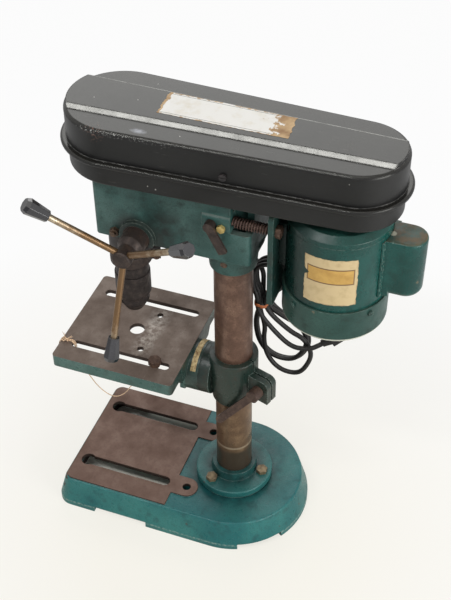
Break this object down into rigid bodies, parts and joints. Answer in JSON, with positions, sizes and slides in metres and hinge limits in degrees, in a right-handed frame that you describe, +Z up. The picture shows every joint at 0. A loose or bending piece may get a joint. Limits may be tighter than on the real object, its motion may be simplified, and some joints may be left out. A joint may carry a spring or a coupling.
{
  "type": "bench drill press",
  "caption": "Bench drill press with a cast base and column, tilting slotted table, rack-fed quill with chuck, belt case and motor on a sliding plate.",
  "frame": {"origin": "on the bench plane, midway between the two bench-bolt holes", "axes": "+Z up along the column, operator at -Y, feed handles on +X, motor at +Y"},
  "size_m": [0.2322, 0.4375, 0.6028],
  "materials": {
    "green_casting": "painted teal green, rusty where machined",
    "head_green": "dusty grey-green paint",
    "motor_green": "semi-gloss green paint",
    "bell_grey": "greyed green paint",
    "rusty_iron": "rusted",
    "rusty_steel": "rusted",
    "plain_steel": "oiled",
    "yellow_zinc": "yellow zinc plating",
    "dark_steel": "dark oxide",
    "black_paint": "semi-gloss black paint",
    "black_plastic": "glossy",
    "pulley_alloy": "turned",
    "black_rubber": "dull",
    "gold_scale": "worn",
    "copper_tie": "dull copper",
    "tan_twine": "coarse"
  },
  "bodies": {
    "stand": {"base_casting": "green_casting", "column_flange": "rusty_iron", "flange_bolts": "yellow_zinc", "column": "rusty_steel", "head_casting": "head_green", "head_screws": "plain_steel", "belt_case_pan": "black_paint", "pan_hinge": "black_paint", "drive_bearings": "plain_steel", "return_spring_cup": "head_green", "return_spring": "plain_steel", "switch_box": "black_plastic", "cord_gland": "black_rubber", "power_lead": "black_rubber", "cord_hank": "black_rubber", "cord_tie": "copper_tie", "mains_plug": "black_rubber", "v_belt": "black_rubber", "tension_spring": "rusty_steel"},
    "lid": {"belt_case_lid": "black_paint", "lid_hinge": "black_paint", "lid_catch_screw": "plain_steel"},
    "motor_carriage": {"motor_plate": "head_green", "slide_rods": "rusty_steel", "plate_fasteners": "rusty_steel", "motor_frame": "motor_green", "motor_lower_bell": "bell_grey", "motor_top_bell": "motor_green", "bell_screws": "plain_steel", "stator": "plain_steel", "motor_bearings": "plain_steel", "capacitor_cover": "motor_green"},
    "motor_rotor": {"rotor": "plain_steel", "motor_pulley": "pulley_alloy"},
    "pulley": {"drive_sleeve": "plain_steel", "spindle_pulley": "pulley_alloy"},
    "quill": {"quill": "plain_steel", "quill_bearings": "plain_steel", "quill_stop_collar": "rusty_iron", "collar_screw": "rusty_steel"},
    "spindle": {"spindle": "plain_steel", "chuck_body": "dark_steel"},
    "chuck_sleeve": {"chuck_sleeve": "dark_steel"},
    "jaw_1": {"chuck_jaw_1": "plain_steel"},
    "jaw_2": {"chuck_jaw_2": "plain_steel"},
    "jaw_3": {"chuck_jaw_3": "plain_steel"},
    "feed": {"pinion_shaft": "plain_steel", "feed_hub": "rusty_steel", "feed_spokes": "yellow_zinc", "feed_knobs": "black_plastic"},
    "tension_lock": {"tension_lock_lever": "dark_steel"},
    "table_bracket": {"table_bracket": "green_casting", "bracket_fasteners": "rusty_steel"},
    "table_clamp": {"table_clamp_lever": "dark_steel"},
    "table": {"table": "green_casting", "tilt_scale": "gold_scale", "tilt_stop_pin": "rusty_steel", "slot_bolt": "rusty_steel", "twine": "tan_twine"},
    "switch": {"switch_rocker": "black_plastic"}
  },
  "joints": [
    {"name": "lid_open", "type": "hinge", "parent": "stand", "child": "lid", "pos_m": [-0.06806, 0.05039, 0.552], "axis": [-0.0351, -0.9994, 0], "range_deg": [0, 95]},
    {"name": "motor_slide", "type": "slide", "parent": "stand", "child": "motor_carriage", "axis": [0, 1, 0], "range_m": [-0.012, 0.006], "deforming": ["tension_spring", "v_belt"]},
    {"name": "rotor_spin", "type": "hinge", "parent": "motor_carriage", "child": "motor_rotor", "pos_m": [0, 0.17, 0.5], "axis": [0, 0, 1], "continuous": true},
    {"name": "pulley_spin", "type": "hinge", "parent": "stand", "child": "pulley", "pos_m": [0, -0.0795, 0.55], "axis": [0, 0, 1], "continuous": true},
    {"name": "feed_turn", "type": "hinge", "parent": "stand", "child": "feed", "pos_m": [0, -0.0485, 0.4535], "axis": [1, 0, 0], "range_deg": [0, 152.7], "stiffness_Nm_per_rad": 0.25, "springref_deg": -114.59},
    {"name": "quill_slide", "type": "slide", "parent": "stand", "child": "quill", "axis": [0, 0, -1], "range_m": [0, 0.036]},
    {"name": "spindle_spin", "type": "hinge", "parent": "quill", "child": "spindle", "pos_m": [0, -0.0795, 0.4], "axis": [0, 0, 1], "continuous": true},
    {"name": "sleeve_turn", "type": "hinge", "parent": "spindle", "child": "chuck_sleeve", "pos_m": [0, -0.0795, 0.345], "axis": [0, 0, 1], "range_deg": [0, 1080]},
    {"name": "tension_lock_turn", "type": "hinge", "parent": "stand", "child": "tension_lock", "pos_m": [0.045, 0.04, 0.496], "axis": [1, 0, 0], "range_deg": [-60, 10]},
    {"name": "table_height", "type": "slide", "parent": "stand", "child": "table_bracket", "axis": [0, 0, -1], "range_m": [-0.01, 0.1]},
    {"name": "table_clamp_turn", "type": "hinge", "parent": "table_bracket", "child": "table_clamp", "pos_m": [0.01286, 0.09108, 0.231], "axis": [0.9563, -0.2924, 0], "range_deg": [0, 75]},
    {"name": "table_tilt", "type": "hinge", "parent": "table_bracket", "child": "table", "pos_m": [0, 0.012, 0.228], "axis": [0, 1, 0], "range_deg": [-45, 45]},
    {"name": "switch_rock", "type": "hinge", "parent": "stand", "child": "switch", "pos_m": [-0.067, 0.005, 0.49], "axis": [0, 1, 0], "range_deg": [0, 12]},
    {"name": "jaw_1_slide", "type": "slide", "parent": "spindle", "child": "jaw_1", "axis": [0.1948, 0.1125, 0.9744], "range_m": [0, 0.018]},
    {"name": "jaw_2_slide", "type": "slide", "parent": "spindle", "child": "jaw_2", "axis": [-0.1948, 0.1125, 0.9744], "range_m": [0, 0.018]},
    {"name": "jaw_3_slide", "type": "slide", "parent": "spindle", "child": "jaw_3", "axis": [0, -0.225, 0.9744], "range_m": [0, 0.018]}
  ],
  "couplings": [
    {"joint": "quill_slide", "follows": "feed_turn", "m_per_rad": 0.0135},
    {"joint": "pulley_spin", "follows": "rotor_spin", "ratio": 0.725},
    {"joint": "spindle_spin", "follows": "rotor_spin", "ratio": 0.725},
    {"joint": "jaw_1_slide", "follows": "sleeve_turn", "m_per_rad": 0.00095493},
    {"joint": "jaw_2_slide", "follows": "sleeve_turn", "m_per_rad": 0.00095493},
    {"joint": "jaw_3_slide", "follows": "sleeve_turn", "m_per_rad": 0.00095493}
  ]
}
